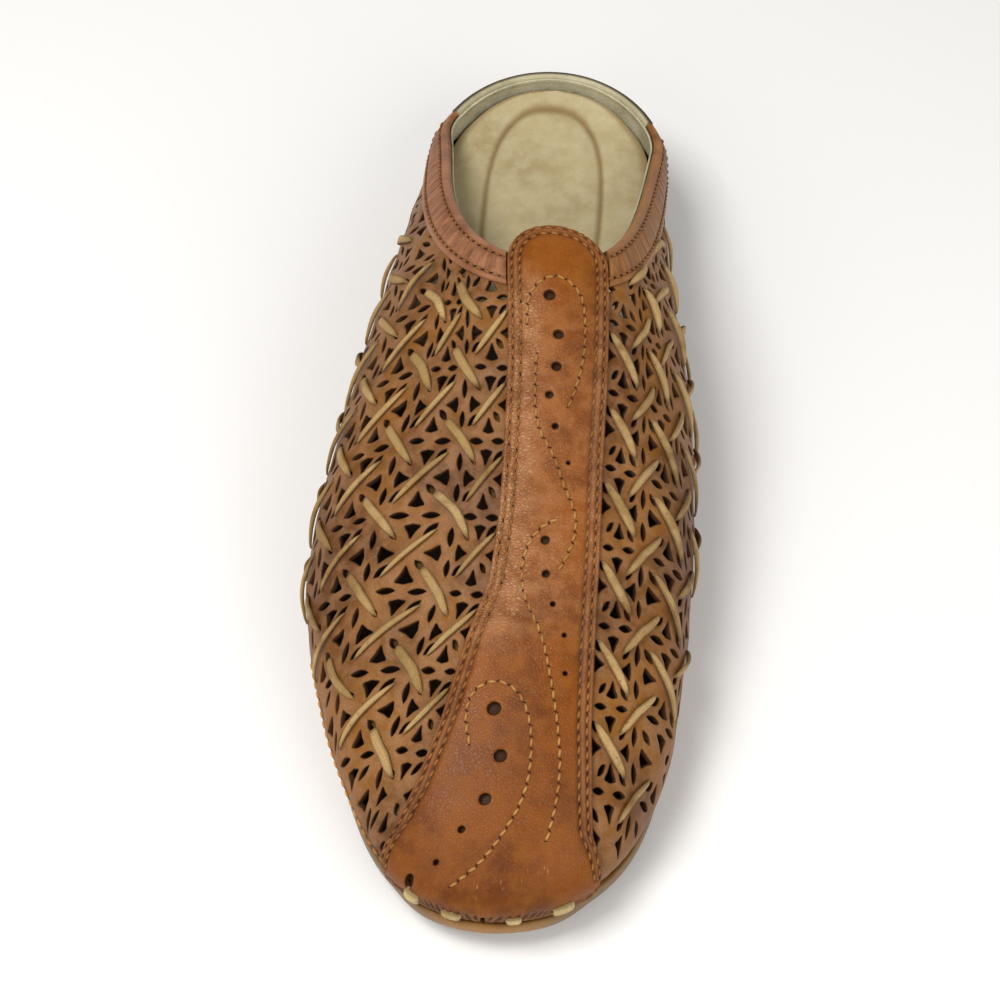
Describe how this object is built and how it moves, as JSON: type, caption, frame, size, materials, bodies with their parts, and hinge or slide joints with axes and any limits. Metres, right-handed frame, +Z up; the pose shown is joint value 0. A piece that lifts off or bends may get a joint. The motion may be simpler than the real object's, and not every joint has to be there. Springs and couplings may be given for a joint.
{
  "type": "woven leather mule",
  "caption": "Backless slip-on leather shoe with perforated, lace-woven sides, a stitched centre strip over the toe, a low back rim, a padded insole and a low heel.",
  "frame": {"origin": "bottom centre of the bounding box, on the floor under the middle of the sole", "axes": "+Y from the toe to the heel, +X to the medial side, +Z up from the floor"},
  "size_m": [0.099, 0.2612, 0.0747],
  "materials": {
    "outsole": "amber-brown edge, matt underside",
    "heel": "stacked, dark brown edge",
    "insole": "soft olive-beige, matt",
    "upper": "tan-brown, satin, perforated and laced",
    "centre_strip": "orange-brown, polished, stitched",
    "collar_band": "pinkish tan, cross-wrinkled",
    "heel_rim": "dark olive edge over a pale lining",
    "toe_tie": "pale rawhide"
  },
  "bodies": {
    "root": {"outsole": "outsole", "heel": "heel", "insole": "insole", "upper": "upper", "centre_strip": "centre_strip", "collar_band_lateral": "collar_band", "collar_band_medial": "collar_band", "heel_rim": "heel_rim", "toe_tie_1": "toe_tie", "toe_tie_2": "toe_tie", "toe_tie_3": "toe_tie", "toe_tie_4": "toe_tie"}
  },
  "joints": []
}
